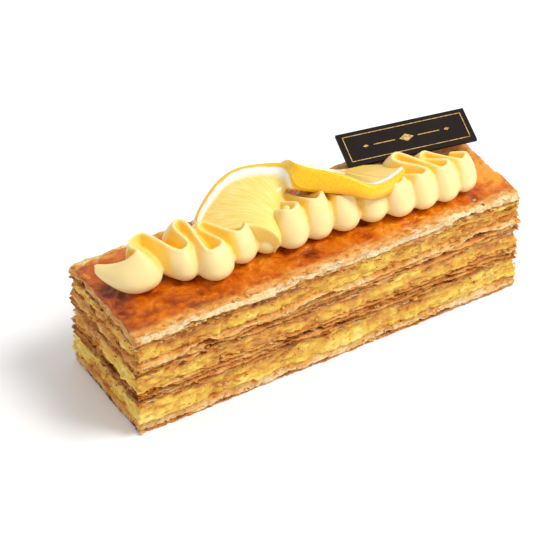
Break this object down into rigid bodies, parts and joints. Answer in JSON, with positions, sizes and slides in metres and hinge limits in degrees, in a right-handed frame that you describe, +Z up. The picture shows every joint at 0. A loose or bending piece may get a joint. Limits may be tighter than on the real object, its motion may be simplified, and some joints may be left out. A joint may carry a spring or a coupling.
{
  "type": "mille feuille slice",
  "caption": "Oblong layered slice of flaky pastry and custard cream, topped with a piped cream ruffle, a twisted lemon half slice and a small dark chocolate plaque.",
  "frame": {"origin": "centre of the slice's flat underside", "axes": "+X along the slice towards the end that carries the plaque, +Y from the front long side to the back, +Z up through the bands to the toppings"},
  "size_m": [0.1227, 0.0395, 0.0513],
  "materials": {
    "flaky_pastry": "dry, rough and flaky",
    "custard_cream": "soft and moist",
    "caramel_glaze": "glossy and wrinkled",
    "piped_butter_cream": "smooth and soft",
    "lemon": "wet and glossy",
    "dark_chocolate": "smooth with a soft sheen"
  },
  "bodies": {
    "root": {"pastry_base": "flaky_pastry", "cream_lower": "custard_cream", "pastry_lower": "flaky_pastry", "cream_middle": "custard_cream", "pastry_upper": "flaky_pastry", "cream_upper": "custard_cream", "pastry_top": "caramel_glaze", "piped_cream": "piped_butter_cream", "lemon_slice": "lemon", "chocolate_plaque": "dark_chocolate"}
  },
  "joints": []
}
